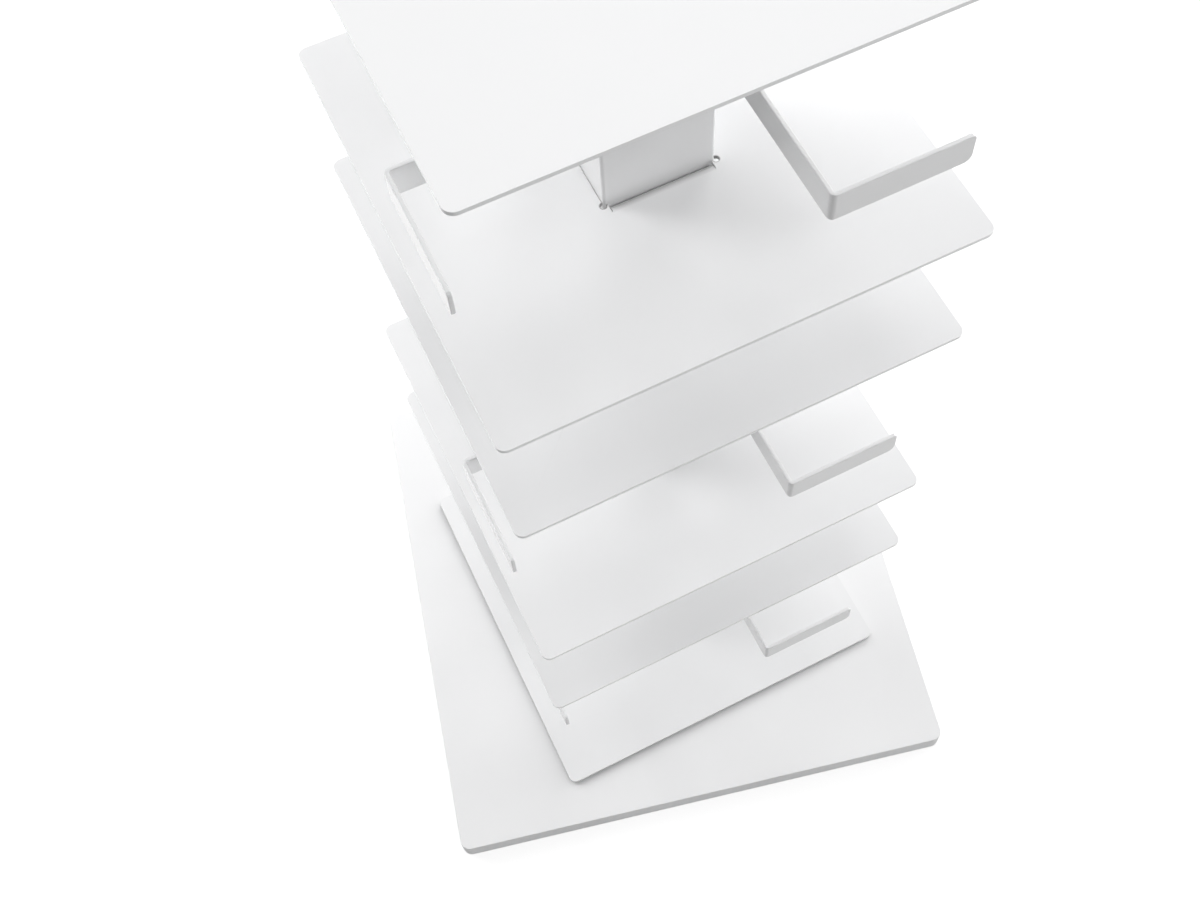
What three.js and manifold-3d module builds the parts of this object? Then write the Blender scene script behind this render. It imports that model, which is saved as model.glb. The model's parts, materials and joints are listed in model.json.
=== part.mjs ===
import * as THREE from 'three';
import { mergeVertices } from 'three/addons/utils/BufferGeometryUtils.js';
import Module from 'manifold-3d';

// A free-standing bookcase of square sheet-steel shelves on one square column. The column turns on
// a heavy base plate. Four bent rails in each book storey keep the books of the four sides apart.
// Lengths are in millimetres, +Z is up, the floor is at z = 0 and the column's axis is the Z axis.

const wasm = await Module();
wasm.setup();

// Clearances
const seatGap = 0.3; // left between two pieces that touch
const cutOverrun = 4; // how far a cutting body runs past what it cuts

// Base
const baseSide = 500;
const baseHeight = 25;
const baseCornerRadius = 10;
const baseTurnDeg = -13.5; // how far the base is turned against the shelves, as it stands
const coverWall = 3;
const coverFloorGap = 2;
const ballastThickness = 14;
const ballastEdgeGap = 2;
const padRadius = 22;
const padInset = 50; // from the base's edges to a pad's axis
const padStemRadius = 5; // the stem is pushed into the ballast plate
const padStemLength = 8;

// Swivel bearing, in a round well in the base
const wellGap = 2; // round what turns in the well
const ballCircleRadius = 90;
const raceInnerBorder = 22; // from the ball circle to a race's inner edge
const raceOuterBorder = 10; // from the ball circle to a race's outer edge
const raceThickness = 2.6;
const ballRadius = 2.5;
const ballCount = 20;
const trackDepth = 0.9;
const trackMouth = 4.4; // width of the track at the race's face
const trackFloor = 2.4; // width of the track at its bottom
const cageWidth = 12;
const cageThickness = 1.6;
const racePinRadius = 3; // pins on a race's back keep it in its place
const racePinLength = 2.7;
const racePinInset = 8; // from a race's inner edge to a pin's axis
const racePinCount = 4;

// Pivot bolt on the swivel's axis
const pivotRadius = 8;
const pivotHexRadius = 13; // over the corners of the bolt's head and the nut
const pivotHeadHeight = 6;
const pivotNutHeight = 8;
const pivotNutCover = 3; // thread that stands above the nut
const pivotRunningGap = 0.4;
const bushWall = 2.6;
const bushFlangeWidth = 4;
const bushFlangeThickness = 2;
const pivotWasherWidth = 9;
const pivotWasherThickness = 2;

// Swivel plate, as wide as the races, which carries the column and the lowest shelf
const swivelPlateThickness = 6;
const swivelScrewInset = 20; // from the plate's edge to a screw's axis
const swivelScrew = { shank: 2.5, head: 4.8, headHeight: 2, length: 7.5 };

// Column
const columnSide = 82;
const columnWall = 2.5;
const columnCornerRadius = 2.5;
const capThickness = 2;
const capPlugDepth = 10;

// Shelf plates, counted from the floor
const shelfSide = 350;
const shelfThickness = 3;
const shelfCornerRadius = 7;
const shelfHoleGap = 0.4; // between the column's sides and the plate
const shelfAboveBase = 3; // from the base's top to the lowest plate's underside
const bookPitch = 250;
const smallPitch = 130;
const shelfPitches = [bookPitch, smallPitch, bookPitch, smallPitch, bookPitch];
const flangeWidth = 75;
const flangeDrop = 25; // below the plate's underside
const flangeBendRadius = 7; // outside of the bend
const flangeSlit = 0.5; // at each end of a flange, where it is cut free of the plate
const reliefRadius = 2.3; // round holes at the corners of the cut-out for the column
const flangeScrew = { shank: 3, head: 5.2, headHeight: 3, length: 10 };

// Rails
const railHeight = 24;
const railThickness = 3;
const railBendRadius = 4; // outside of the bend
const railUpperRadius = 3; // of the strip's upper corners
const railLowerRadius = 6;
const railAboveShelf = 100; // from the shelf's top to the rail's lower edge
const railEnd = 136; // from the column's axis to the rail's free end
const railRoot = 32; // from the column's axis to the rail's other end
const railFixingPitch = 40; // from the pin to the screw that hold the rail on the column
const railPinRadius = 2.5;
const railScrew = { shank: 2.5, head: 4.6, headHeight: 2.8, length: 8 };
const shiftedRail = 'low_front'; // this rail was bent nearer the column and reaches further forward
const railBendShift = 13;

// Fineness of round shapes
const cornerSteps = 5;
const endSteps = 4;
const bendSteps = 6;
const screwSides = 8;
const ringSides = 36;
const pinSides = 16;
const hexSides = 6;
const ballSides = 6;
const ballRows = 4;

// Angles
const fullTurn = 2 * Math.PI;
const quarterTurn = Math.PI / 2;

// Heights that follow from the sizes above
const coverTop = baseHeight;
const ballastTop = coverTop - coverWall - seatGap;
const ballastBottom = ballastTop - ballastThickness;
const firstShelfTop = coverTop + shelfAboveBase + shelfThickness;
const swivelPlateTop = coverTop + shelfAboveBase - seatGap;
const swivelPlateBottom = swivelPlateTop - swivelPlateThickness;
const columnBottom = swivelPlateTop + seatGap;
const upperRaceTop = swivelPlateBottom - seatGap;
const upperRaceBottom = upperRaceTop - raceThickness;
const ballCentre = upperRaceBottom + trackDepth - seatGap - ballRadius;
const lowerRaceTop = ballCentre - ballRadius - seatGap + trackDepth;
const lowerRaceBottom = lowerRaceTop - raceThickness;
const wellFloor = lowerRaceBottom - seatGap;
const shelfTops = shelfPitches.reduce((tops, pitch) => [...tops, tops[tops.length - 1] + pitch], [firstShelfTop]);
const columnTop = shelfTops[shelfTops.length - 1];
const columnHalf = columnSide / 2;

// Radii that follow from the ball circle
const raceInnerRadius = ballCircleRadius - raceInnerBorder;
const raceOuterRadius = ballCircleRadius + raceOuterBorder;
const racePinCircleRadius = raceInnerRadius + racePinInset;
const wellRadius = raceOuterRadius + wellGap;

// Materials
const finish = (color, roughness, metalness) => new THREE.MeshStandardMaterial({ color, roughness, metalness });
const whiteLacquer = finish(0xf4f4f4, 0.22, 0);
const baseLacquer = finish(0xf0f0f0, 0.35, 0);
const paintedScrew = finish(0xeeeeee, 0.3, 0);
const zincSteel = finish(0xb9bcc0, 0.35, 1);
const darkSteel = finish(0x5c5f63, 0.5, 1);
const blackRubber = finish(0x1b1b1b, 0.85, 0);
const whiteNylon = finish(0xe6e4de, 0.5, 0);
const whitePlastic = finish(0xf2f2f2, 0.4, 0);

// A closed geometry becomes a solid once its corners are shared.
function solidOf(geometry) {
  geometry.deleteAttribute('normal');
  geometry.deleteAttribute('uv');
  const merged = mergeVertices(geometry);
  const index = merged.index.array;
  const triangles = [];
  for (let i = 0; i < index.length; i += 3) {
    const corners = [index[i], index[i + 1], index[i + 2]];
    if (new Set(corners).size === corners.length) {
      triangles.push(...corners);
    }
  }
  const vertProperties = Float32Array.from(merged.attributes.position.array);
  const triVerts = Uint32Array.from(triangles);
  return new wasm.Manifold(new wasm.Mesh({ numProp: 3, vertProperties, triVerts }));
}

function geometryOf(solid) {
  const mesh = solid.getMesh();
  const geometry = new THREE.BufferGeometry();
  geometry.setAttribute('position', new THREE.BufferAttribute(mesh.vertProperties, 3));
  geometry.setIndex(new THREE.BufferAttribute(mesh.triVerts, 1));
  geometry.computeVertexNormals();
  return geometry;
}

const joined = (solids) => solids.reduce((whole, solid) => whole.add(solid));
const cutFrom = (solid, cutters) => cutters.reduce((rest, cutter) => rest.subtract(cutter), solid);

function mesh(name, solid, material) {
  const piece = new THREE.Mesh(geometryOf(solid), material);
  piece.name = name;
  return piece;
}

// An outline in the XY plane, raised from one height to another.
function raised(shape, bottom, top) {
  const geometry = new THREE.ExtrudeGeometry(shape, {
    depth: top - bottom,
    bevelEnabled: false,
    curveSegments: cornerSteps,
  });
  return solidOf(geometry.translate(0, 0, bottom));
}

function roundedRectangle(width, depth, radius) {
  const [x, y] = [width / 2, depth / 2];
  const shape = new THREE.Shape();
  shape.moveTo(x, radius - y);
  shape.lineTo(x, y - radius);
  shape.absarc(x - radius, y - radius, radius, 0, quarterTurn);
  shape.absarc(radius - x, y - radius, radius, quarterTurn, 2 * quarterTurn);
  shape.absarc(radius - x, radius - y, radius, 2 * quarterTurn, 3 * quarterTurn);
  shape.absarc(x - radius, radius - y, radius, 3 * quarterTurn, fullTurn);
  return shape;
}

function rectangle(width, depth) {
  const [x, y] = [width / 2, depth / 2];
  return new THREE.Shape([
    new THREE.Vector2(-x, -y),
    new THREE.Vector2(x, -y),
    new THREE.Vector2(x, y),
    new THREE.Vector2(-x, y),
  ]);
}

// A profile of [radius, height] points turned about the Z axis.
function turned(profile, sides) {
  const points = profile.map(([radius, height]) => new THREE.Vector2(radius, height));
  return solidOf(new THREE.LatheGeometry(points, sides).rotateX(quarterTurn));
}

function rod(radius, bottom, top, sides) {
  return turned([[0, bottom], [radius, bottom], [radius, top], [0, top]], sides);
}

function tube(inner, outer, bottom, top, sides) {
  return turned([[inner, bottom], [outer, bottom], [outer, top], [inner, top], [inner, bottom]], sides);
}

// Screws point down, with the head's seat, or a countersunk head's face, at z = 0.
function buttonScrew({ shank, head, headHeight, length }) {
  const domeShare = 0.6;
  return turned([
    [0, -length],
    [shank, -length],
    [shank, 0],
    [head, 0],
    [head, headHeight * (1 - domeShare)],
    [head * domeShare, headHeight],
    [0, headHeight],
  ], screwSides);
}

function countersunkScrew({ shank, head, headHeight, length }) {
  return turned([[0, -length], [shank, -length], [shank, -headHeight], [head, 0], [0, 0]], screwSides);
}

// The hole for a screw is the screw's own shape with room round it.
function screwHole({ shank, length }) {
  return rod(shank + seatGap, -length - seatGap, cutOverrun, screwSides);
}

function countersunkHole({ shank, head, headHeight, length }) {
  return turned([
    [0, -length - seatGap],
    [shank + seatGap, -length - seatGap],
    [shank + seatGap, -headHeight - seatGap],
    [head + seatGap, -seatGap],
    [head + seatGap, cutOverrun],
    [0, cutOverrun],
  ], screwSides);
}

const degrees = THREE.MathUtils.radToDeg;
const onCircle = (radius, count) => Array.from({ length: count }, (_, i) => {
  const angle = i * fullTurn / count;
  return [radius * Math.cos(angle), radius * Math.sin(angle)];
});
const onSquare = (pitch) => [[1, 1], [-1, 1], [-1, -1], [1, -1]].map(([x, y]) => [x * pitch / 2, y * pitch / 2]);
const copies = (solid, places, height) => places.map(([x, y]) => solid.translate([x, y, height]));

// Base: a folded cover over a ballast plate, on four rubber pads
const base = new THREE.Group();
base.rotation.z = THREE.MathUtils.degToRad(baseTurnDeg);

const upsideDown = [degrees(Math.PI), 0, 0];
const padPlaces = onSquare(baseSide - 2 * padInset);
const racePinPlaces = onCircle(racePinCircleRadius, racePinCount);
const racePinHole = rod(racePinRadius + seatGap, -racePinLength - 2 * seatGap, cutOverrun, screwSides);

function baseCover() {
  const outside = raised(roundedRectangle(baseSide, baseSide, baseCornerRadius), coverFloorGap, coverTop);
  const insideSide = baseSide - 2 * coverWall;
  const insideOutline = roundedRectangle(insideSide, insideSide, baseCornerRadius - coverWall);
  const inside = raised(insideOutline, coverFloorGap - cutOverrun, coverTop - coverWall);
  return cutFrom(outside, [inside, rod(wellRadius, 0, coverTop + cutOverrun, ringSides)]);
}

function ballastPlate() {
  const side = baseSide - 2 * (coverWall + ballastEdgeGap);
  const outline = roundedRectangle(side, side, baseCornerRadius - coverWall);
  const well = rod(wellRadius, wellFloor, ballastTop + cutOverrun, ringSides);
  const pivotHole = rod(pivotRadius + seatGap, 0, ballastTop, pinSides);
  const pinHoles = copies(racePinHole, racePinPlaces, lowerRaceBottom);
  const stemHole = rod(padStemRadius + seatGap, 0, ballastBottom + padStemLength, pinSides);
  const plate = raised(outline, ballastBottom, ballastTop);
  return cutFrom(plate, [well, pivotHole, ...pinHoles, ...copies(stemHole, padPlaces, 0)]);
}

function floorPad() {
  const padTop = ballastBottom - seatGap;
  return rod(padRadius, 0, padTop, pinSides).add(rod(padStemRadius, 0, padTop + padStemLength, pinSides));
}

base.add(mesh('base_cover', baseCover(), baseLacquer));
base.add(mesh('ballast_plate', ballastPlate(), darkSteel));
copies(floorPad(), padPlaces, 0).forEach((pad, i) => base.add(mesh(`floor_pad_${i + 1}`, pad, blackRubber)));

// Swivel bearing: two equal races with a ball track each, and a ring of balls between them.
// A race lies with its back at z = 0 and its track on top.
function race() {
  const ring = tube(raceInnerRadius, raceOuterRadius, 0, raceThickness, ringSides);
  const trackBottom = raceThickness - trackDepth;
  const track = turned([
    [ballCircleRadius - trackFloor / 2, trackBottom],
    [ballCircleRadius + trackFloor / 2, trackBottom],
    [ballCircleRadius + trackMouth / 2, raceThickness],
    [ballCircleRadius + trackMouth / 2, raceThickness + cutOverrun],
    [ballCircleRadius - trackMouth / 2, raceThickness + cutOverrun],
    [ballCircleRadius - trackMouth / 2, raceThickness],
    [ballCircleRadius - trackFloor / 2, trackBottom],
  ], ringSides);
  const pin = rod(racePinRadius, -racePinLength, trackBottom, screwSides);
  return joined([ring.subtract(track), ...copies(pin, racePinPlaces, 0)]);
}

function ballRing() {
  const [inner, outer] = [ballCircleRadius - cageWidth / 2, ballCircleRadius + cageWidth / 2];
  const cage = tube(inner, outer, -cageThickness / 2, cageThickness / 2, ringSides);
  const ball = solidOf(new THREE.SphereGeometry(ballRadius, ballSides, ballRows).rotateX(quarterTurn));
  return joined([cage, ...copies(ball, onCircle(ballCircleRadius, ballCount), 0)]);
}

base.add(mesh('lower_race', race().translate([0, 0, lowerRaceBottom]), zincSteel));

// Pivot: a bolt that stands in the base, and a flanged bush in the swivel plate that turns round it
const bushOuterRadius = pivotRadius + pivotRunningGap + bushWall;
const bushFlangeTop = swivelPlateTop + seatGap + bushFlangeThickness;
const washerTop = bushFlangeTop + seatGap + pivotWasherThickness;
const nutTop = washerTop + seatGap + pivotNutHeight;

function pivotBolt() {
  const headTop = ballastBottom - seatGap;
  const head = rod(pivotHexRadius, headTop - pivotHeadHeight, headTop, hexSides);
  return head.add(rod(pivotRadius, headTop - pivotHeadHeight, nutTop + pivotNutCover, pinSides));
}

function pivotNut() {
  const nut = rod(pivotHexRadius, washerTop + seatGap, nutTop, hexSides);
  return nut.subtract(rod(pivotRadius + seatGap, washerTop, nutTop + cutOverrun, pinSides));
}

function pivotBush() {
  const inner = pivotRadius + pivotRunningGap;
  const flange = bushOuterRadius + bushFlangeWidth;
  return turned([
    [inner, swivelPlateBottom],
    [bushOuterRadius, swivelPlateBottom],
    [bushOuterRadius, swivelPlateTop + seatGap],
    [flange, swivelPlateTop + seatGap],
    [flange, bushFlangeTop],
    [inner, bushFlangeTop],
    [inner, swivelPlateBottom],
  ], pinSides);
}

function pivotWasher() {
  const inner = pivotRadius + seatGap;
  return tube(inner, inner + pivotWasherWidth, bushFlangeTop + seatGap, washerTop, pinSides);
}

base.add(mesh('pivot_bolt', pivotBolt(), zincSteel));
base.add(mesh('pivot_washer', pivotWasher(), zincSteel));
base.add(mesh('pivot_nut', pivotNut(), zincSteel));

// The ball ring rolls between the base and the tower.
const rolling = new THREE.Group();
rolling.add(mesh('ball_ring', ballRing().translate([0, 0, ballCentre]), zincSteel));

// Tower: everything that turns with the column
const tower = new THREE.Group();
tower.add(mesh('upper_race', race().rotate(upsideDown).translate([0, 0, upperRaceTop]), zincSteel));
tower.add(mesh('pivot_bush', pivotBush(), whiteNylon));

// Swivel plate, and the screws that hold the lowest shelf on it
const swivelScrewPlaces = onSquare((raceOuterRadius - swivelScrewInset) * Math.SQRT2);
const swivelScrewHoles = copies(countersunkHole(swivelScrew), swivelScrewPlaces, firstShelfTop);

function swivelPlate() {
  const disc = rod(raceOuterRadius, swivelPlateBottom, swivelPlateTop, ringSides);
  const bushHole = rod(bushOuterRadius + seatGap, 0, swivelPlateTop + cutOverrun, pinSides);
  const pinHoles = copies(racePinHole.rotate(upsideDown), racePinPlaces, upperRaceTop);
  return cutFrom(disc, [bushHole, ...pinHoles, ...swivelScrewHoles]);
}

tower.add(mesh('swivel_plate', swivelPlate(), whiteLacquer));
copies(countersunkScrew(swivelScrew), swivelScrewPlaces, firstShelfTop - seatGap).forEach((screw, i) => {
  tower.add(mesh(`swivel_screw_${i + 1}`, screw, paintedScrew));
});

// A body that points along -Z is turned to point in to one of the column's four sides.
// Its place is its distance from the column's axis, how far along the side it is, and its height.
const sideNames = ['right', 'back', 'left', 'front'];
const sideTurn = (side) => sideNames.indexOf(side) * quarterTurn;
function onSide(solid, side, distance, along, height) {
  return solid
    .rotate([0, degrees(quarterTurn), 0])
    .translate([distance, along, height])
    .rotate([0, 0, degrees(sideTurn(side))]);
}

// Each shelf above the first is screwed to the column through a flange in front and one behind.
const flangeSides = ['front', 'back'];
const flangeFace = columnHalf + seatGap + shelfThickness;
function atFlangeScrew(solid, shelfTop, side) {
  return onSide(solid, side, flangeFace + seatGap, 0, shelfTop - shelfThickness - flangeDrop / 2);
}

// Each rail has a pin near its end on the column, and a screw nearer its bend.
const railBack = columnHalf + seatGap;
const railFace = railBack + railThickness;
const railMiddle = (shelfTop) => shelfTop + railAboveShelf + railHeight / 2;
function atRailScrew(solid, shelfTop, side) {
  return onSide(solid, side, railFace + seatGap, -railFixingPitch / 2, railMiddle(shelfTop));
}

const flangedShelfTops = shelfTops.slice(1);
const bookShelfTops = shelfTops.filter((_, i) => shelfPitches[i] === bookPitch);

function column() {
  const outline = roundedRectangle(columnSide, columnSide, columnCornerRadius);
  const insideSide = columnSide - 2 * columnWall;
  const inside = raised(rectangle(insideSide, insideSide), columnBottom - cutOverrun, columnTop + cutOverrun);
  const flangeHole = screwHole(flangeScrew);
  const railHole = screwHole(railScrew);
  const pinHole = rod(railPinRadius + seatGap, -columnSide / 2, 0, screwSides);
  const holes = [
    ...flangedShelfTops.flatMap((top) => flangeSides.map((side) => atFlangeScrew(flangeHole, top, side))),
    ...bookShelfTops.flatMap((top) => sideNames.map((side) => atRailScrew(railHole, top, side))),
    ...bookShelfTops.flatMap((top) => sideNames.map((side) => (
      onSide(pinHole, side, railFace, railFixingPitch / 2, railMiddle(top))))),
  ];
  return cutFrom(raised(outline, columnBottom, columnTop), [inside, ...holes]);
}

function columnCap() {
  const lidBottom = columnTop + seatGap;
  const plugSide = columnSide - 2 * (columnWall + seatGap);
  const lid = raised(roundedRectangle(columnSide, columnSide, columnCornerRadius), lidBottom, lidBottom + capThickness);
  return lid.add(raised(rectangle(plugSide, plugSide), columnTop - capPlugDepth, lidBottom + capThickness / 2));
}

tower.add(mesh('column', column(), whiteLacquer));
tower.add(mesh('column_cap', columnCap(), whitePlastic));

// Shelves. The lowest is flat. The others have a flange bent down in front of and behind the column,
// and a round relief at each corner of the cut-out.
const bendEdge = columnHalf + seatGap + flangeBendRadius;
const holeSide = columnSide + 2 * shelfHoleGap;

function flatShelf(top) {
  const plate = raised(roundedRectangle(shelfSide, shelfSide, shelfCornerRadius), top - shelfThickness, top);
  const bottom = top - shelfThickness - cutOverrun;
  return plate.subtract(raised(rectangle(holeSide, holeSide), bottom, top + cutOverrun));
}

// The front flange. Its section is drawn outwards and down from the column's axis and the shelf's top,
// and laps over the plate that it is bent from.
function flange() {
  const face = bendEdge - flangeBendRadius;
  const foot = shelfThickness + flangeDrop;
  const lap = bendEdge + shelfThickness;
  const inner = flangeBendRadius - shelfThickness;
  const section = new THREE.Shape();
  section.moveTo(lap, 0);
  section.lineTo(bendEdge, 0);
  section.absarc(bendEdge, flangeBendRadius, flangeBendRadius, -quarterTurn, -2 * quarterTurn, true);
  section.lineTo(face, foot);
  section.lineTo(face + shelfThickness, foot);
  section.lineTo(face + shelfThickness, flangeBendRadius);
  section.absarc(bendEdge, flangeBendRadius, inner, -2 * quarterTurn, -quarterTurn, false);
  section.lineTo(lap, shelfThickness);
  const geometry = new THREE.ExtrudeGeometry(section, {
    depth: flangeWidth,
    bevelEnabled: false,
    curveSegments: bendSteps,
  });
  return solidOf(geometry.translate(0, 0, -flangeWidth / 2).rotateX(-quarterTurn).rotateZ(-quarterTurn));
}

function flangedShelf(top) {
  const [bottom, over] = [-shelfThickness - cutOverrun, cutOverrun];
  const slot = raised(rectangle(flangeWidth + 2 * flangeSlit, 2 * bendEdge), bottom, over);
  const relief = rod(reliefRadius, bottom, over, pinSides);
  const plate = cutFrom(flatShelf(0), [slot, ...copies(relief, onSquare(holeSide), 0)]);
  const front = flange();
  const back = front.rotate([0, 0, degrees(Math.PI)]);
  const hole = screwHole(flangeScrew);
  const shelf = joined([plate, front, back]).translate([0, 0, top]);
  return cutFrom(shelf, flangeSides.map((side) => atFlangeScrew(hole, top, side)));
}

shelfTops.forEach((top, i) => {
  const plate = i === 0 ? cutFrom(flatShelf(top), swivelScrewHoles) : flangedShelf(top);
  tower.add(mesh(`shelf_plate_${i + 1}`, plate, whiteLacquer));
  if (i > 0) {
    flangeSides.forEach((side) => {
      const screw = atFlangeScrew(buttonScrew(flangeScrew), top, side);
      tower.add(mesh(`shelf_screw_${i + 1}_${side}`, screw, paintedScrew));
    });
  }
});

// A strip's centre line: straight runs and bends one after the other, as points with a heading.
function centreLine(start, heading, runs) {
  const line = [{ at: start, heading }];
  for (const { straight, bend, radius, steps } of runs) {
    const last = line[line.length - 1];
    if (straight) {
      const step = new THREE.Vector2(straight, 0).rotateAround(new THREE.Vector2(), last.heading);
      line.push({ at: step.add(last.at), heading: last.heading });
    } else {
      const centre = new THREE.Vector2(0, Math.sign(bend) * radius).rotateAround(new THREE.Vector2(), last.heading);
      centre.add(last.at);
      for (let i = 1; i <= steps; i += 1) {
        const turn = bend * i / steps;
        line.push({ at: last.at.clone().rotateAround(centre, turn), heading: last.heading + turn });
      }
    }
  }
  return line;
}

// A strip's plan is its centre line with half its thickness on each side.
function stripPlan(line, thickness) {
  const edge = (side) => line.map(({ at, heading }) => (
    new THREE.Vector2(0, side * thickness / 2).rotateAround(new THREE.Vector2(), heading).add(at)));
  return new THREE.Shape([...edge(-1), ...edge(1).reverse()]);
}

// What rounding takes off the upper corner of a strip that ends at x = 0 and lies at x < 0.
function cornerWaste(radius) {
  const waste = new THREE.Shape();
  waste.moveTo(cutOverrun, -radius);
  waste.lineTo(cutOverrun, cutOverrun);
  waste.lineTo(-radius, cutOverrun);
  waste.lineTo(-radius, 0);
  waste.absarc(-radius, -radius, radius, quarterTurn, 0, true);
  const geometry = new THREE.ExtrudeGeometry(waste, {
    depth: 2 * cutOverrun,
    bevelEnabled: false,
    curveSegments: endSteps,
  });
  return solidOf(geometry.translate(0, 0, -cutOverrun).rotateX(quarterTurn)).translate([0, 0, railHeight / 2]);
}

function roundedEnd(strip, { at, heading }) {
  const corners = [cornerWaste(railUpperRadius), cornerWaste(railLowerRadius).rotate(upsideDown)];
  return cutFrom(strip, corners.map((corner) => (
    corner.rotate([0, 0, degrees(heading)]).translate([at.x, at.y, 0]))));
}

// The right side's rail, about its own mid height: along the column to the front, round the bend, and
// out to the right with its face flush with the shelf's front edge. A shift brings the bend nearer the
// column and the free end as much further out.
function rail(bendShift) {
  const middle = railBack + railThickness / 2;
  const bendCentre = railBendRadius - railThickness / 2;
  const line = centreLine(new THREE.Vector2(middle, railRoot), -quarterTurn, [
    { straight: railRoot + shelfSide / 2 - railThickness / 2 - bendCentre - bendShift },
    { bend: quarterTurn, radius: bendCentre, steps: bendSteps },
    { straight: railEnd - middle - bendCentre + bendShift },
  ]);
  const [first, last] = [line[0], line[line.length - 1]];
  const strip = raised(stripPlan(line, railThickness), -railHeight / 2, railHeight / 2);
  const rounded = roundedEnd(roundedEnd(strip, last), { at: first.at, heading: first.heading + Math.PI });
  const pin = rod(railPinRadius, -seatGap - columnWall, railThickness / 2, screwSides);
  const whole = rounded.add(onSide(pin, 'right', railBack, railFixingPitch / 2, 0));
  return whole.subtract(atRailScrew(screwHole(railScrew), -railMiddle(0), 'right'));
}

const storeyNames = ['low', 'middle', 'high'];
bookShelfTops.forEach((shelfTop, i) => {
  sideNames.forEach((side) => {
    const place = `${storeyNames[i]}_${side}`;
    const piece = mesh(`rail_${place}`, rail(place === shiftedRail ? railBendShift : 0), whiteLacquer);
    piece.rotation.z = sideTurn(side);
    piece.position.z = railMiddle(shelfTop);
    tower.add(piece);
    tower.add(mesh(`rail_screw_${place}`, atRailScrew(buttonScrew(railScrew), shelfTop, side), paintedScrew));
  });
});

const bookcase = new THREE.Group();
bookcase.add(base, rolling, tower);

export default bookcase;
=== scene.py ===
import json
import math

import bmesh
import bpy
from mathutils import Matrix, Vector


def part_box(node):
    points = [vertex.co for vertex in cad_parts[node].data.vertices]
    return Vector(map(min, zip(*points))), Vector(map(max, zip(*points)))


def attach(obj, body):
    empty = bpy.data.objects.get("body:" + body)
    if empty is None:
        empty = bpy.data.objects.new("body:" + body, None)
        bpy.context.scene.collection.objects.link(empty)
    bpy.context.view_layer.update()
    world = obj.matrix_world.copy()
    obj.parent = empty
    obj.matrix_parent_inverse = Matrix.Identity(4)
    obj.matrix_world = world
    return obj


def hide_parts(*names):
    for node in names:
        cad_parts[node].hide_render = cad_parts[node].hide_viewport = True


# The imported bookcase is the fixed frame. Its nodes keep their shapes and get finishes, rounded edges and
# detail here. Lengths are in metres.

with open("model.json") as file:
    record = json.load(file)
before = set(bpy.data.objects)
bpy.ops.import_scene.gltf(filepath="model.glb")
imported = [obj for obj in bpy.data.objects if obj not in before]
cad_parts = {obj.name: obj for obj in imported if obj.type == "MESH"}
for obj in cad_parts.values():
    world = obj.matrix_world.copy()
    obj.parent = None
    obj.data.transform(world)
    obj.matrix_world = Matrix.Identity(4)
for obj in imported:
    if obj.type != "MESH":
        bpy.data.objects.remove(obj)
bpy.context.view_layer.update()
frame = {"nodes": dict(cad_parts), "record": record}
nodes = frame["nodes"]


# Camera

CAMERA_PLACE = (-0.26742, -0.59003, 1.64076)
CAMERA_RIGHT = Vector((0.89685952, -0.44147879, -0.02719328))
CAMERA_DOWN = Vector((-0.39462717, -0.77088239, -0.50000973))
CAMERA_AHEAD = Vector((0.19978087, 0.4591697, -0.86559274))
CAMERA_RANGE = (0.01, 50.0)
SENSOR_WIDTH = 36.0
FOCAL_LENGTH = 47.5767
CAMERA_SHIFT = (-0.02364, -0.09168)


def make_camera():
    data = bpy.data.cameras.new("camera")
    data.sensor_width = SENSOR_WIDTH
    data.lens = FOCAL_LENGTH
    data.shift_x, data.shift_y = CAMERA_SHIFT
    data.clip_start, data.clip_end = CAMERA_RANGE
    data.dof.use_dof = False
    camera = bpy.data.objects.new("camera", data)
    axes = Matrix((CAMERA_RIGHT, -CAMERA_DOWN, -CAMERA_AHEAD)).transposed()
    camera.matrix_world = Matrix.Translation(CAMERA_PLACE) @ axes.to_4x4()
    bpy.context.scene.collection.objects.link(camera)
    bpy.context.scene.camera = camera


make_camera()


# Shader steps. Each takes sockets or plain values and gives back the socket of its result.

WHITE = (1.0, 1.0, 1.0, 1.0)
# Nearly all values of a noise lie between these
NOISE_LOW, NOISE_HIGH = 0.3, 0.7


def calculate(tree, operation, first, second):
    node = tree.nodes.new("ShaderNodeMath")
    node.operation = operation
    for socket, value in zip(node.inputs, (first, second)):
        if isinstance(value, float):
            socket.default_value = value
        else:
            tree.links.new(value, socket)
    return node.outputs["Value"]


def noise(tree, place, scale, detail):
    node = tree.nodes.new("ShaderNodeTexNoise")
    node.inputs["Scale"].default_value = scale
    node.inputs["Detail"].default_value = detail
    tree.links.new(place, node.inputs["Vector"])
    return node.outputs["Fac"]


def spread(tree, value, low, high, start=NOISE_LOW, end=NOISE_HIGH):
    """Stretch the range from start to end over the one from low to high."""
    node = tree.nodes.new("ShaderNodeMapRange")
    node.inputs["From Min"].default_value = start
    node.inputs["From Max"].default_value = end
    node.inputs["To Min"].default_value = low
    node.inputs["To Max"].default_value = high
    tree.links.new(value, node.inputs["Value"])
    return node.outputs["Result"]


def blend(tree, value, first, second):
    node = tree.nodes.new("ShaderNodeMix")
    node.data_type = "RGBA"
    for socket, colour in (("A", first), ("B", second)):
        if isinstance(colour, tuple):
            node.inputs[socket].default_value = (*colour, 1.0)
        else:
            tree.links.new(colour, node.inputs[socket])
    tree.links.new(value, node.inputs["Factor"])
    return node.outputs["Result"]


def bump(tree, height, distance, strength, before=None):
    node = tree.nodes.new("ShaderNodeBump")
    node.inputs["Distance"].default_value = distance
    node.inputs["Strength"].default_value = strength
    tree.links.new(height, node.inputs["Height"])
    if before is not None:
        tree.links.new(before, node.inputs["Normal"])
    return node.outputs["Normal"]


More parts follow.
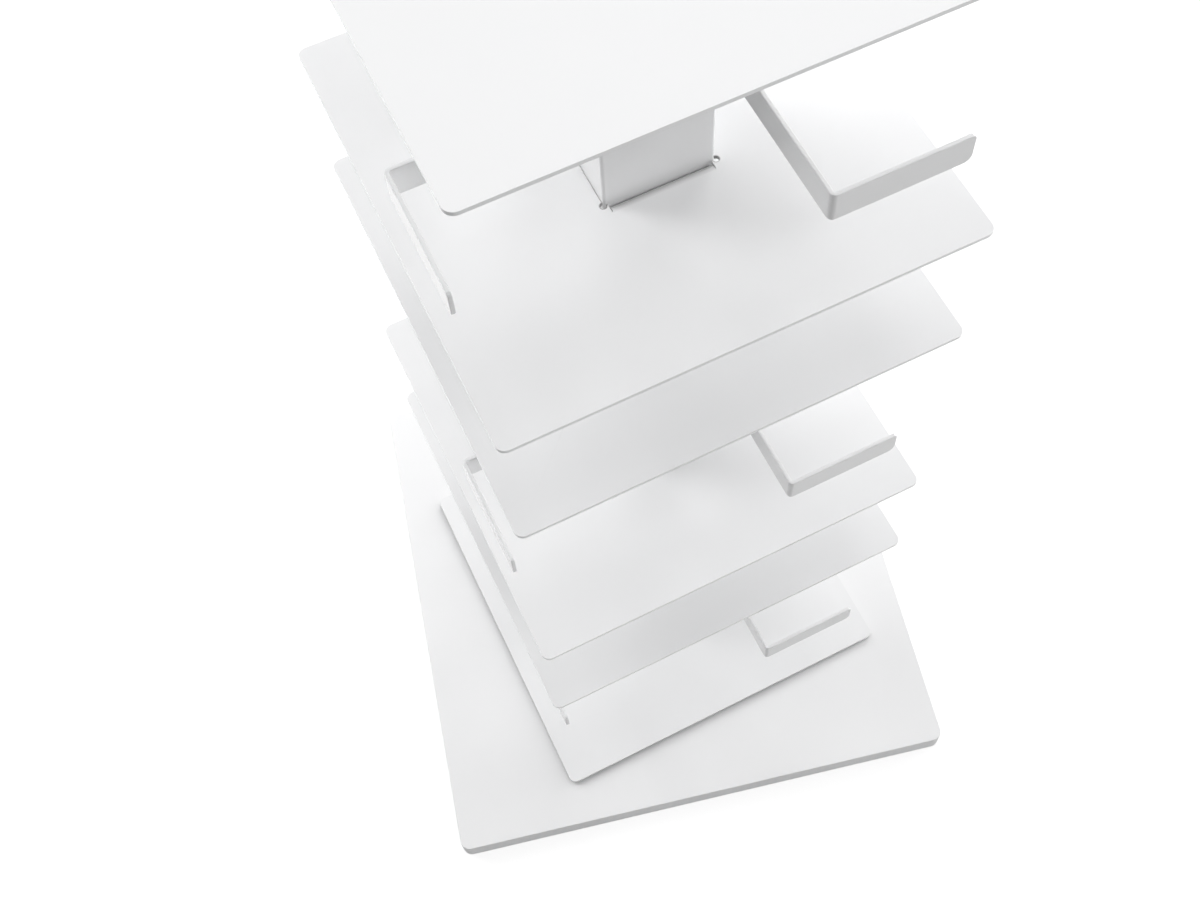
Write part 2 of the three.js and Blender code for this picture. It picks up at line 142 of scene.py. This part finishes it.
def vector_step(tree, operation, place, second=None):
    node = tree.nodes.new("ShaderNodeVectorMath")
    node.operation = operation
    tree.links.new(place, node.inputs[0])
    if second is not None:
        node.inputs[1].default_value = second
    return node.outputs["Value" if operation == "DISTANCE" else "Vector"]


def separate(tree, place):
    node = tree.nodes.new("ShaderNodeSeparateXYZ")
    tree.links.new(place, node.inputs["Vector"])
    return node.outputs


def seen_rays(tree):
    """Give 1 for what the camera sees, also in a reflection or through glass, and 0 for other light."""
    path = tree.nodes.new("ShaderNodeLightPath").outputs
    seen = calculate(tree, "MAXIMUM", path["Is Camera Ray"], path["Is Glossy Ray"])
    return calculate(tree, "MAXIMUM", seen, path["Is Transmission Ray"])


# Light: wide soft lamps all round, the strongest behind and low, in a dark surrounding with a white backdrop

LIGHT_TARGET = Vector((0.0, 0.0, 0.55))
LIGHT_DISTANCE = 3.2
LIGHT_SIZE = 1.6
# Each light's direction from the bookcase, counted from the right towards the back, its height in degrees
# and its power in watts
LIGHTS = [
    ("right", 0, 28, 11.9),
    ("back_right", 45, 28, 36.1),
    ("back", 90, 28, 21.0),
    ("back_left", 135, 28, 33.8),
    ("front_right", 315, 28, 17.1),
    ("above_back_right", 45, 50, 6.6),
    ("above_back_left", 135, 50, 20.2),
    ("above_front", 270, 50, 23.1),
    ("top_right", 0, 72, 15.0),
    ("low_right", 0, 8, 32.0),
    ("low_back_left", 135, 8, 28.0),
    ("low_front_right", 315, 8, 6.3),
]


def make_light(name, azimuth, elevation, power):
    turn, lift = math.radians(azimuth), math.radians(elevation)
    aim = Vector((math.cos(turn) * math.cos(lift), math.sin(turn) * math.cos(lift), math.sin(lift)))
    data = bpy.data.lights.new(name, "AREA")
    data.shape = "DISK"
    data.size = LIGHT_SIZE
    data.energy = power
    light = bpy.data.objects.new(name, data)
    light.location = LIGHT_TARGET + aim * LIGHT_DISTANCE
    light.rotation_mode = "QUATERNION"
    light.rotation_quaternion = aim.to_track_quat("Z", "Y")
    light.visible_glossy = False
    bpy.context.scene.collection.objects.link(light)


def make_world():
    world = bpy.data.worlds.new("surroundings")
    world.use_nodes = True
    tree = world.node_tree
    tree.nodes.clear()
    output = tree.nodes.new("ShaderNodeOutputWorld")
    backdrop = tree.nodes.new("ShaderNodeBackground")
    backdrop.inputs["Color"].default_value = WHITE
    tree.links.new(seen_rays(tree), backdrop.inputs["Strength"])
    tree.links.new(backdrop.outputs["Background"], output.inputs["Surface"])
    bpy.context.scene.world = world


make_world()
for values in LIGHTS:
    make_light(*values)
bpy.context.scene.view_settings.view_transform = "Standard"


# Painted shade in the folds in front of and behind the column, and in the relief holes at its corners: the
# colour is darkened there to stand in for the shade that falls into them. It is full up to one distance and
# fades out at the next.

COLUMN_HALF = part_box("column")[1][0]
FOLD_HALF = 0.0375
FOLD_REACH = 0.0085
RELIEF_CENTRE = COLUMN_HALF + 0.0004
RELIEF_RADIUS = 0.0023
PAINTED_FOLD_SHADE_COLOUR = (0.25, 0.245, 0.24)
FOLD_SHADE_STRENGTH = 0.5
FOLD_SHADE_DEPTHS = (COLUMN_HALF + FOLD_REACH / 2, COLUMN_HALF + FOLD_REACH)
FOLD_SHADE_WIDTHS = (FOLD_HALF, FOLD_HALF + RELIEF_RADIUS / 2)
RELIEF_SHADE_STRENGTH = 0.9
RELIEF_SHADE_REACHES = (RELIEF_RADIUS * 1.05, RELIEF_RADIUS * 1.4)
LEVEL_AXES = (1.0, 1.0, 0.0)


def painted_fold_shade(tree, place):
    level = vector_step(tree, "MULTIPLY", vector_step(tree, "ABSOLUTE", place), LEVEL_AXES)
    axes = separate(tree, level)
    near = spread(tree, axes["Y"], FOLD_SHADE_STRENGTH, 0.0, *FOLD_SHADE_DEPTHS)
    beside = spread(tree, axes["X"], 1.0, 0.0, *FOLD_SHADE_WIDTHS)
    from_hole = vector_step(tree, "DISTANCE", level, (RELIEF_CENTRE, RELIEF_CENTRE, 0.0))
    hole = spread(tree, from_hole, RELIEF_SHADE_STRENGTH, 0.0, *RELIEF_SHADE_REACHES)
    return calculate(tree, "MAXIMUM", calculate(tree, "MULTIPLY", near, beside), hole)


# The lowest shelf's underside, close above the base, is coloured dark grey as painted shade. A face counts
# as underside where it looks down more than this.

PAINTED_UNDERSIDE_SHADE = (0.2, 0.2, 0.205)
UNDERSIDE_SLOPE = -0.7


def underside(tree):
    place = tree.nodes.new("ShaderNodeTexCoord")
    return calculate(tree, "LESS_THAN", separate(tree, place.outputs["Normal"])["Z"], UNDERSIDE_SLOPE)


# Finishes. A noise is given by its scale and detail, and the relief of a surface by its depth too.

LACQUER_TONE = (9.0, 3.0)
LACQUER_SHEEN = (40.0, 3.0)
RIPPLE_NOISE, RIPPLE_DEPTH = (260.0, 1.0), 0.00006
GRAIN_DETAIL = 2.0
LACQUER_GRAIN_DEPTH = 0.00002
LACQUER_GLOSS = 0.5
STEEL_CLOUD = (60.0, 4.0)
STEEL_SHEEN = (300.0, 3.0)
STEEL_GRAIN_SCALE, STEEL_GRAIN_DEPTH, STEEL_GRAIN = 1500.0, 0.00003, 0.3
MOULDED_CLOUD = (45.0, 3.0)
MOULDED_SHEEN = (120.0, 2.0)
MOULDED_GRAIN_DEPTH = 0.00005


def material(name):
    made = bpy.data.materials.new(name)
    made.use_nodes = True
    tree = made.node_tree
    tree.nodes.clear()
    output = tree.nodes.new("ShaderNodeOutputMaterial")
    shader = tree.nodes.new("ShaderNodeBsdfPrincipled")
    place = tree.nodes.new("ShaderNodeTexCoord")
    tree.links.new(shader.outputs["BSDF"], output.inputs["Surface"])
    return made, tree, shader, place.outputs["Object"]


def set_shader(tree, shader, colour, sheen, normal):
    tree.links.new(colour, shader.inputs["Base Color"])
    tree.links.new(sheen, shader.inputs["Roughness"])
    tree.links.new(normal, shader.inputs["Normal"])


def lacquer(name, light, shade, rough, grain_scale, grain, ripple,
            gloss=LACQUER_GLOSS, shaded_folds=False, shaded_underside=False):
    made, tree, shader, place = material(name)
    shader.inputs["Specular IOR Level"].default_value = gloss
    tone = spread(tree, noise(tree, place, *LACQUER_TONE), 0.0, 1.0)
    colour = blend(tree, tone, shade, light)
    # Painted shade: the colour is darkened in the folds beside the column and in the relief holes
    if shaded_folds:
        colour = blend(tree, painted_fold_shade(tree, place), colour, PAINTED_FOLD_SHADE_COLOUR)
    # Painted shade: faces that look down are darkened to dark grey
    if shaded_underside:
        colour = blend(tree, underside(tree), colour, PAINTED_UNDERSIDE_SHADE)
    sheen = spread(tree, noise(tree, place, *LACQUER_SHEEN), *rough)
    waves = bump(tree, noise(tree, place, *RIPPLE_NOISE), RIPPLE_DEPTH, ripple)
    peel = bump(tree, noise(tree, place, grain_scale, GRAIN_DETAIL), LACQUER_GRAIN_DEPTH, grain, waves)
    set_shader(tree, shader, colour, sheen, peel)
    return made


def plated_steel(name, light, shade, rough):
    made, tree, shader, place = material(name)
    shader.inputs["Metallic"].default_value = 1.0
    cloud = spread(tree, noise(tree, place, *STEEL_CLOUD), 0.0, 1.0)
    sheen = spread(tree, noise(tree, place, *STEEL_SHEEN), *rough)
    grains = noise(tree, place, STEEL_GRAIN_SCALE, GRAIN_DETAIL)
    normal = bump(tree, grains, STEEL_GRAIN_DEPTH, STEEL_GRAIN)
    set_shader(tree, shader, blend(tree, cloud, shade, light), sheen, normal)
    return made


def moulded(name, light, shade, rough, grain_scale, grain):
    made, tree, shader, place = material(name)
    cloud = spread(tree, noise(tree, place, *MOULDED_CLOUD), 0.0, 1.0)
    sheen = spread(tree, noise(tree, place, *MOULDED_SHEEN), *rough)
    normal = bump(tree, noise(tree, place, grain_scale, GRAIN_DETAIL), MOULDED_GRAIN_DEPTH, grain)
    set_shader(tree, shader, blend(tree, cloud, shade, light), sheen, normal)
    return made


SHEET_LACQUER = {
    "light": (0.905, 0.907, 0.912), "shade": (0.895, 0.897, 0.903), "rough": (0.12, 0.2),
    "grain_scale": 2200.0, "grain": 0.05, "ripple": 0.015,
}
LACQUERS = {
    "white_lacquer": SHEET_LACQUER,
    # This finish carries painted shade in the folds and relief holes
    "shelf_lacquer": {**SHEET_LACQUER, "shaded_folds": True},
    # This finish carries painted shade on the underside
    "lowest_shelf_lacquer": {**SHEET_LACQUER, "shaded_underside": True},
    "base_lacquer": {
        "light": (0.91, 0.911, 0.915), "shade": (0.895, 0.896, 0.901), "rough": (0.36, 0.48),
        "grain_scale": 1400.0, "grain": 0.35, "ripple": 0.1, "gloss": 0.2,
    },
    "painted_screw": {
        "light": (0.86, 0.861, 0.864), "shade": (0.835, 0.836, 0.84), "rough": (0.2, 0.32),
        "grain_scale": 2600.0, "grain": 0.2, "ripple": 0.1,
    },
}
STEELS = {
    "zinc_steel": {"light": (0.62, 0.64, 0.67), "shade": (0.5, 0.52, 0.55), "rough": (0.25, 0.42)},
    "raw_steel": {"light": (0.14, 0.145, 0.155), "shade": (0.09, 0.095, 0.1), "rough": (0.4, 0.62)},
}
MOULDINGS = {
    "black_rubber": {
        "light": (0.02, 0.02, 0.021), "shade": (0.012, 0.012, 0.013), "rough": (0.6, 0.8),
        "grain_scale": 900.0, "grain": 0.5,
    },
    "white_nylon": {
        "light": (0.74, 0.73, 0.70), "shade": (0.68, 0.67, 0.64), "rough": (0.4, 0.55),
        "grain_scale": 700.0, "grain": 0.2,
    },
    "white_plastic": {
        "light": (0.84, 0.84, 0.842), "shade": (0.81, 0.81, 0.813), "rough": (0.3, 0.42),
        "grain_scale": 1100.0, "grain": 0.2,
    },
}

FINISHES = {}
for make_finish, looks in ((lacquer, LACQUERS), (plated_steel, STEELS), (moulded, MOULDINGS)):
    for finish_name, look in looks.items():
        FINISHES[finish_name] = make_finish(finish_name, **look)

slot_of = {row["node"]: row["material_slot"] for row in frame["record"]["subparts"]}


def paint(piece, slot, finish=None):
    piece.data.materials.clear()
    piece.data.materials.append(FINISHES[finish or slot])


# Pieces in full detail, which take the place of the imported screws, ball ring and pads

MERGE_DISTANCE = 0.0000001
SMOOTH_ANGLE = math.radians(35)


def make_mesh(name, bm):
    bmesh.ops.remove_doubles(bm, verts=bm.verts, dist=MERGE_DISTANCE)
    bmesh.ops.recalc_face_normals(bm, faces=bm.faces)
    mesh = bpy.data.meshes.new(name)
    bm.to_mesh(mesh)
    bm.free()
    mesh.shade_smooth()
    mesh.set_sharp_from_angle(angle=SMOOTH_ANGLE)
    return mesh


def stand_in(name, mesh, place, node, body, outward=None):
    piece = bpy.data.objects.new(name, mesh)
    piece.location = place
    if outward is not None:
        piece.rotation_mode = "QUATERNION"
        piece.rotation_quaternion = outward.to_track_quat("Z", "Y")
    bpy.context.scene.collection.objects.link(piece)
    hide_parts(node)
    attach(piece, body)
    paint(piece, slot_of[node])


def add_turned(bm, profile, sides):
    """Close a skin over rings round the Z axis. A radius can be a number or follow from the angle."""
    rings = []
    for height, radius in profile:
        row = []
        for i in range(sides):
            angle = 2 * math.pi * i / sides
            reach = radius(angle) if callable(radius) else radius
            row.append(bm.verts.new((reach * math.cos(angle), reach * math.sin(angle), height)))
        rings.append(row)
    for lower, upper in zip(rings, rings[1:]):
        for i in range(sides):
            j = (i + 1) % sides
            bm.faces.new((lower[i], lower[j], upper[j], upper[i]))
    bm.faces.new(list(reversed(rings[0])))
    bm.faces.new(rings[-1])


def middle(node):
    low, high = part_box(node)
    return (Vector(low) + Vector(high)) / 2


# Screws with a hexagon socket and a thread. The sockets' and domes' sizes are shares of the head's.

SCREW_SIDES = 36
SCREWS = {
    "shelf": {"shank": 0.003, "head": 0.0052, "height": 0.003, "length": 0.01},
    "rail": {"shank": 0.0025, "head": 0.0046, "height": 0.0028, "length": 0.008},
    "swivel": {"shank": 0.0025, "head": 0.0048, "height": 0.002, "length": 0.0075},
}
COUNTERSUNK = "swivel"
SOCKET_SHARE = 0.36
SOCKET_DEPTH_SHARE = 0.55
DOME_FOOT = 0.35
DOME_TOP = 0.58
DOME_STEPS = 8
CHAMFER = 0.0002
THREAD_PITCH = 0.0008
THREAD_DEPTH = 0.0004
ROWS_PER_TURN = 4
UP = Vector((0, 0, 1))
OUTWARD = {
    "right": Vector((1, 0, 0)),
    "back": Vector((0, 1, 0)),
    "left": Vector((-1, 0, 0)),
    "front": Vector((0, -1, 0)),
}


def hexagon(apothem):
    return lambda angle: apothem / math.cos((angle + math.pi / 6) % (math.pi / 3) - math.pi / 6)


def thread_rows(shank, top, bottom):
    rows = [(top, shank)]
    start = top - THREAD_PITCH
    count = int((start - bottom - THREAD_PITCH) / THREAD_PITCH * ROWS_PER_TURN)
    for i in range(count + 1):
        height = start - i * THREAD_PITCH / ROWS_PER_TURN

        def radius(angle, height=height):
            phase = (height / THREAD_PITCH - angle / (2 * math.pi)) % 1.0
            return shank - THREAD_DEPTH * (1.0 - abs(2.0 * phase - 1.0))

        rows.append((height, radius))
    rows.append((bottom + THREAD_DEPTH, shank - THREAD_DEPTH))
    rows.append((bottom, shank - 2 * THREAD_DEPTH))
    return rows


def socket_rows(screw, top):
    apothem = screw["head"] * SOCKET_SHARE
    floor = top - screw["height"] * SOCKET_DEPTH_SHARE
    rim = apothem / math.cos(math.pi / 6) + CHAMFER
    return [
        (floor, hexagon(apothem / 2)),
        (floor, hexagon(apothem)),
        (top - CHAMFER, hexagon(apothem)),
        (top, rim),
    ]


def button_rows(screw):
    head, height = screw["head"], screw["height"]
    rows = socket_rows(screw, height)
    for i in range(DOME_STEPS, -1, -1):
        lift = math.radians(90 * i / DOME_STEPS)
        level = height * (DOME_FOOT + (1 - DOME_FOOT) * math.sin(lift))
        rows.append((level, head * (DOME_TOP + (1 - DOME_TOP) * math.cos(lift))))
    rows += [(CHAMFER, head), (0.0, head - CHAMFER)]
    return rows + thread_rows(screw["shank"], 0.0, -screw["length"])


def countersunk_rows(screw):
    head = screw["head"]
    rows = socket_rows(screw, 0.0)
    rows += [(0.0, head - CHAMFER), (-CHAMFER, head), (-screw["height"], screw["shank"])]
    return rows + thread_rows(screw["shank"], -screw["height"] - CHAMFER, -screw["length"])


def screw_mesh(kind):
    bm = bmesh.new()
    rows = countersunk_rows if kind == COUNTERSUNK else button_rows
    add_turned(bm, rows(SCREWS[kind]), SCREW_SIDES)
    return make_mesh(kind + "_screw", bm)


def place_screws():
    meshes = {kind: screw_mesh(kind) for kind in SCREWS}
    for node in sorted(nodes):
        if "screw" not in node:
            continue
        words = node.split("_")
        kind = words[0]
        screw = SCREWS[kind]
        outward = OUTWARD.get(words[-1], UP)
        reach = screw["length"] if kind == COUNTERSUNK else screw["length"] + screw["height"]
        seat = middle(node) - outward * (reach / 2 - screw["length"])
        stand_in(node + "_detail", meshes[kind], seat, node, "tower", outward)


# Ball ring: loose balls in the round pockets of a flat cage

BALL_COUNT = 20
BALL_CIRCLE = 0.09
BALL_RADIUS = 0.0025
BALL_SEGMENTS = 24
BALL_RINGS = 14
CAGE_HALF_WIDTH = 0.006
CAGE_HALF_THICKNESS = 0.0008
POCKET_GAP = 0.00015
POCKET_SIDES = 24


def cage_mesh():
    bm = bmesh.new()
    sector = 2 * math.pi / BALL_COUNT
    pocket = BALL_RADIUS + POCKET_GAP
    for i in range(BALL_COUNT):
        start = i * sector
        hole, rim = [], []
        for j in range(POCKET_SIDES):
            turn = 2 * math.pi * j / POCKET_SIDES
            across, along = math.cos(turn), math.sin(turn)
            hole.append((BALL_CIRCLE + pocket * across, pocket * along))
            scale = 1 / max(abs(across), abs(along))
            rim.append((BALL_CIRCLE + CAGE_HALF_WIDTH * across * scale, along * scale * sector / 2))
        levels = []
        for height in (-CAGE_HALF_THICKNESS, CAGE_HALF_THICKNESS):
            inner, outer = [], []
            for across, along in hole:
                turned = Matrix.Rotation(start, 3, "Z") @ Vector((across, along, height))
                inner.append(bm.verts.new(turned))
            for radius, angle in rim:
                x, y = radius * math.cos(start + angle), radius * math.sin(start + angle)
                outer.append(bm.verts.new((x, y, height)))
            levels.append((inner, outer))
        (low_in, low_out), (high_in, high_out) = levels
        for j in range(POCKET_SIDES):
            k = (j + 1) % POCKET_SIDES
            bm.faces.new((high_in[j], high_out[j], high_out[k], high_in[k]))
            bm.faces.new((low_in[k], low_out[k], low_out[j], low_in[j]))
            bm.faces.new((low_in[j], high_in[j], high_in[k], low_in[k]))
            turn = 2 * math.pi * (j + 0.5) / POCKET_SIDES
            if abs(math.cos(turn)) > abs(math.sin(turn)):
                bm.faces.new((low_out[k], high_out[k], high_out[j], low_out[j]))
    return make_mesh("ball_cage_detail", bm)


def balls_mesh():
    bm = bmesh.new()
    for i in range(BALL_COUNT):
        angle = 2 * math.pi * i / BALL_COUNT
        place = Matrix.Translation((BALL_CIRCLE * math.cos(angle), BALL_CIRCLE * math.sin(angle), 0.0))
        bmesh.ops.create_uvsphere(
            bm, u_segments=BALL_SEGMENTS, v_segments=BALL_RINGS, radius=BALL_RADIUS, matrix=place)
    return make_mesh("balls_detail", bm)


def place_ball_ring():
    place = (0.0, 0.0, middle("ball_ring").z)
    stand_in("ball_cage_detail", cage_mesh(), place, "ball_ring", "ball_cage")
    stand_in("balls_detail", balls_mesh(), place, "ball_ring", "ball_cage")


# Pads: grooved rubber discs with a stem

PAD_SIDES = 48
PAD_RADIUS = 0.022
PAD_STEM_RADIUS = 0.005
PAD_STEM_LENGTH = 0.008
PAD_GROOVES = 3
GROOVE_WIDTH = 0.0016
GROOVE_DEPTH = 0.0008
PAD_CHAMFER = 0.0012


def pad_profile(top):
    profile = [(GROOVE_DEPTH, PAD_STEM_RADIUS / 2)]
    step = (PAD_RADIUS - PAD_STEM_RADIUS) / (PAD_GROOVES + 1)
    for i in range(PAD_GROOVES + 1):
        start = PAD_STEM_RADIUS + i * step
        profile += [(GROOVE_DEPTH, start - GROOVE_WIDTH / 2), (0.0, start + GROOVE_WIDTH / 2)]
        if i < PAD_GROOVES:
            profile += [(0.0, start + step - GROOVE_WIDTH), (GROOVE_DEPTH, start + step - GROOVE_WIDTH)]
    profile += [(0.0, PAD_RADIUS - PAD_CHAMFER), (PAD_CHAMFER, PAD_RADIUS), (top - PAD_CHAMFER, PAD_RADIUS)]
    profile += [(top, PAD_RADIUS - PAD_CHAMFER), (top, PAD_STEM_RADIUS)]
    tip = top + PAD_STEM_LENGTH
    profile += [(tip - PAD_CHAMFER, PAD_STEM_RADIUS), (tip, PAD_STEM_RADIUS - PAD_CHAMFER)]
    return profile


def place_pads():
    for node in sorted(nodes):
        if not node.startswith("floor_pad"):
            continue
        centre = middle(node)
        bm = bmesh.new()
        add_turned(bm, pad_profile(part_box(node)[1][2] - PAD_STEM_LENGTH), PAD_SIDES)
        name = node + "_detail"
        stand_in(name, make_mesh(name, bm), (centre.x, centre.y, 0.0), node, "base")


place_screws()
place_ball_ring()
place_pads()


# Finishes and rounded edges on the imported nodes

WELD_DISTANCE = 0.000001
FLAT_ANGLE = math.radians(0.5)
EDGE_ANGLE = math.radians(32)
EDGE_SEGMENTS = 3
FACE_WEIGHT = 100
EDGE_WIDTHS = {
    "base_cover": 0.0008,
    "ballast_plate": 0.0006,
    "column": 0.0004,
    "column_cap": 0.0005,
    "swivel_plate": 0.0006,
    "pivot_bolt": 0.0004,
    "pivot_nut": 0.0004,
}
RAIL_EDGE = 0.0006
SMALL_EDGE = 0.0002
LOWEST_SHELF = "shelf_plate_1"
REPLACED = ("screw", "ball_ring", "floor_pad")


def shading_group():
    group = bpy.data.node_groups.new("shared_corners", "GeometryNodeTree")
    group.interface.new_socket("Geometry", in_out="INPUT", socket_type="NodeSocketGeometry")
    group.interface.new_socket("Geometry", in_out="OUTPUT", socket_type="NodeSocketGeometry")
    start = group.nodes.new("NodeGroupInput")
    end = group.nodes.new("NodeGroupOutput")
    weld = group.nodes.new("GeometryNodeMergeByDistance")
    weld.inputs["Distance"].default_value = WELD_DISTANCE
    drop = group.nodes.new("GeometryNodeRemoveAttribute")
    drop.inputs["Name"].default_value = "custom_normal"
    smooth = group.nodes.new("GeometryNodeSetShadeSmooth")
    smooth.domain = "FACE"
    group.links.new(start.outputs[0], weld.inputs["Geometry"])
    group.links.new(weld.outputs["Geometry"], drop.inputs["Geometry"])
    group.links.new(drop.outputs["Geometry"], smooth.inputs["Geometry"])
    group.links.new(smooth.outputs["Geometry"], end.inputs[0])
    return group


SHARED_CORNERS = shading_group()


def round_edges(piece, width, held_back):
    """Round the sharp edges. If held back, it goes no further than the shortest sides leave room for."""
    clean = piece.modifiers.new("shared_corners", "NODES")
    clean.node_group = SHARED_CORNERS
    flat = piece.modifiers.new("whole_faces", "DECIMATE")
    flat.decimate_type = "DISSOLVE"
    flat.angle_limit = FLAT_ANGLE
    bevel = piece.modifiers.new("rounded_edges", "BEVEL")
    bevel.width = width
    bevel.segments = EDGE_SEGMENTS
    bevel.limit_method = "ANGLE"
    bevel.angle_limit = EDGE_ANGLE
    bevel.use_clamp_overlap = held_back
    level = piece.modifiers.new("even_faces", "WEIGHTED_NORMAL")
    level.keep_sharp = True
    level.weight = FACE_WEIGHT


def dress(name, node):
    upper_shelf = name.startswith("shelf_plate") and name != LOWEST_SHELF
    finish = None
    if upper_shelf:
        finish = "shelf_lacquer"
    elif name == LOWEST_SHELF:
        finish = "lowest_shelf_lacquer"
    paint(node, slot_of[name], finish)
    if any(word in name for word in REPLACED):
        return
    usual = RAIL_EDGE if name.startswith("rail_") else SMALL_EDGE
    # The upper shelves' folds have sides so short that they would hold back the whole rounding
    round_edges(node, EDGE_WIDTHS.get(name, usual), not upper_shelf)


for node_name, packed in nodes.items():
    dress(node_name, packed)


# Floor. To the camera and in reflections it is white where nothing shades it, and on the object it throws
# the light of a plain pale floor.

FLOOR_HALF = 6.0
FLOOR_COLOUR = (0.6, 0.6, 0.6)
FLOOR_SEEN_COLOUR = (0.25, 0.25, 0.25)
FLOOR_SEEN_GLOW = 0.84
FLOOR_ROUGHNESS = 0.9
CORNER_SIGNS = ((-1, -1), (1, -1), (1, 1), (-1, 1))


def make_floor():
    made, tree, shader, _ = material("floor")
    seen = seen_rays(tree)
    tree.links.new(blend(tree, seen, FLOOR_COLOUR, FLOOR_SEEN_COLOUR), shader.inputs["Base Color"])
    shader.inputs["Roughness"].default_value = FLOOR_ROUGHNESS
    glow = calculate(tree, "MULTIPLY", seen, FLOOR_SEEN_GLOW)
    tree.links.new(glow, shader.inputs["Emission Strength"])
    shader.inputs["Emission Color"].default_value = WHITE
    mesh = bpy.data.meshes.new("floor")
    corners = [(x * FLOOR_HALF, y * FLOOR_HALF, 0.0) for x, y in CORNER_SIGNS]
    mesh.from_pydata(corners, [], [(0, 1, 2, 3)])
    mesh.materials.append(made)
    floor = bpy.data.objects.new("floor", mesh)
    bpy.context.scene.collection.objects.link(floor)


make_floor()
